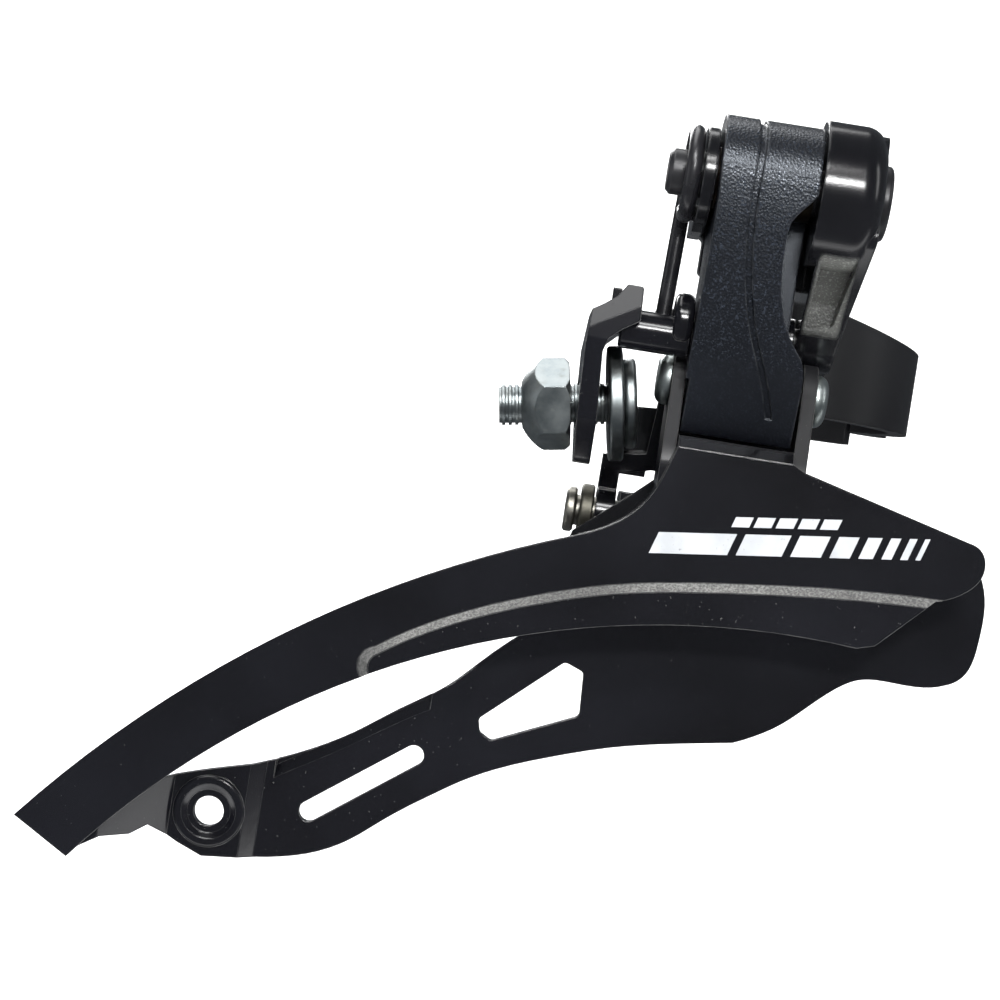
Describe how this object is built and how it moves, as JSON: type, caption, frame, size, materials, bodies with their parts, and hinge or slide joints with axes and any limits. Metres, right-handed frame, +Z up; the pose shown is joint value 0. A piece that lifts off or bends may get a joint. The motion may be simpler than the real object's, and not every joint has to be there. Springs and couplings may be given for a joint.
{
  "type": "front derailleur",
  "caption": "Bottom-swing front derailleur with a hinged seat-tube clamp, parallelogram links, return spring, cable anchor and a two-plate chain cage.",
  "frame": {"origin": "on the axis of the seat tube clamp's bore, level with the middle of the clamp's hinge", "axes": "+Z up along the seat tube, +X towards the front wheel, +Y inboard; the cage is on the -Y side"},
  "size_m": [0.1108, 0.0704, 0.0997],
  "materials": {
    "gloss_black_paint": "gloss",
    "satin_black_paint": "satin",
    "textured_black_paint": "speckled satin",
    "black_steel": "black oxide",
    "spring_steel": "black oxide",
    "zinc_plate": "bright zinc plating",
    "grey_steel": "plain plated",
    "rivet_steel": "satin plated",
    "bush_bronze": "sintered"
  },
  "bodies": {
    "bracket": {"main_bracket": "satin_black_paint", "hinge_pin": "black_steel", "upper_pivot_pin": "black_steel", "inner_upper_pin": "black_steel"},
    "band": {"clamp_band": "satin_black_paint"},
    "clamp_screw": {"clamp_bolt": "black_steel", "clamp_washer": "zinc_plate"},
    "low_screw": {"low_limit_screw": "zinc_plate"},
    "high_screw": {"high_limit_screw": "zinc_plate"},
    "outer_link": {"outer_link": "textured_black_paint", "upper_bush_rear": "bush_bronze", "upper_bush_front": "bush_bronze", "lower_bush": "bush_bronze", "arm_shaft": "gloss_black_paint", "spring_collar": "gloss_black_paint", "cable_arm": "gloss_black_paint", "return_spring": "spring_steel"},
    "inner_link": {"inner_link": "gloss_black_paint", "inner_upper_bush": "bush_bronze", "inner_lower_pin": "grey_steel", "pivot_washer": "grey_steel"},
    "cage": {"cage_outer_plate": "gloss_black_paint", "cage_inner_plate": "gloss_black_paint", "bridge_rivets": "rivet_steel", "tail_rivet": "rivet_steel", "lower_pivot_pin": "rivet_steel"},
    "anchor": {"anchor_bolt": "zinc_plate", "cable_washer": "zinc_plate"},
    "anchor_nut": {"anchor_nut": "zinc_plate"}
  },
  "joints": [
    {"name": "link_swing", "type": "hinge", "parent": "bracket", "child": "outer_link", "pos_m": [0, -0.045, 0.0189], "axis": [-1, 0, 0], "range_deg": [0, 39], "stiffness_Nm_per_rad": 0.35, "springref_deg": -51.57, "deforming": ["return_spring"]},
    {"name": "cage_pivot", "type": "hinge", "parent": "outer_link", "child": "cage", "pos_m": [0, -0.039, -0.00515], "axis": [1, 0, 0], "range_deg": [0, 39]},
    {"name": "inner_link_swing", "type": "hinge", "parent": "bracket", "child": "inner_link", "pos_m": [0, -0.0355, 0.00155], "axis": [-1, 0, 0], "range_deg": [0, 39]},
    {"name": "band_open", "type": "hinge", "parent": "bracket", "child": "band", "pos_m": [0.01315, 0.01315, 0], "axis": [0, 0, -1], "range_deg": [0, 100]},
    {"name": "clamp_screw_out", "type": "slide", "parent": "bracket", "child": "clamp_screw", "axis": [0.694, -0.72, 0], "range_m": [0, 0.0035]},
    {"name": "low_limit_adjust", "type": "slide", "parent": "bracket", "child": "low_screw", "axis": [0, 1, 0], "range_m": [0, 0.003]},
    {"name": "high_limit_adjust", "type": "slide", "parent": "bracket", "child": "high_screw", "axis": [0, 1, 0], "range_m": [0, 0.003]},
    {"name": "anchor_bolt_shift", "type": "slide", "parent": "outer_link", "child": "anchor", "axis": [-0.9863, 0, -0.165], "range_m": [0, 0.0003]},
    {"name": "anchor_nut_turn", "type": "slide", "parent": "anchor", "child": "anchor_nut", "axis": [-0.9863, 0, -0.165], "range_m": [0, 0.0031]}
  ],
  "couplings": [
    {"joint": "cage_pivot", "follows": "link_swing", "ratio": 1},
    {"joint": "inner_link_swing", "follows": "link_swing", "ratio": 1}
  ]
}
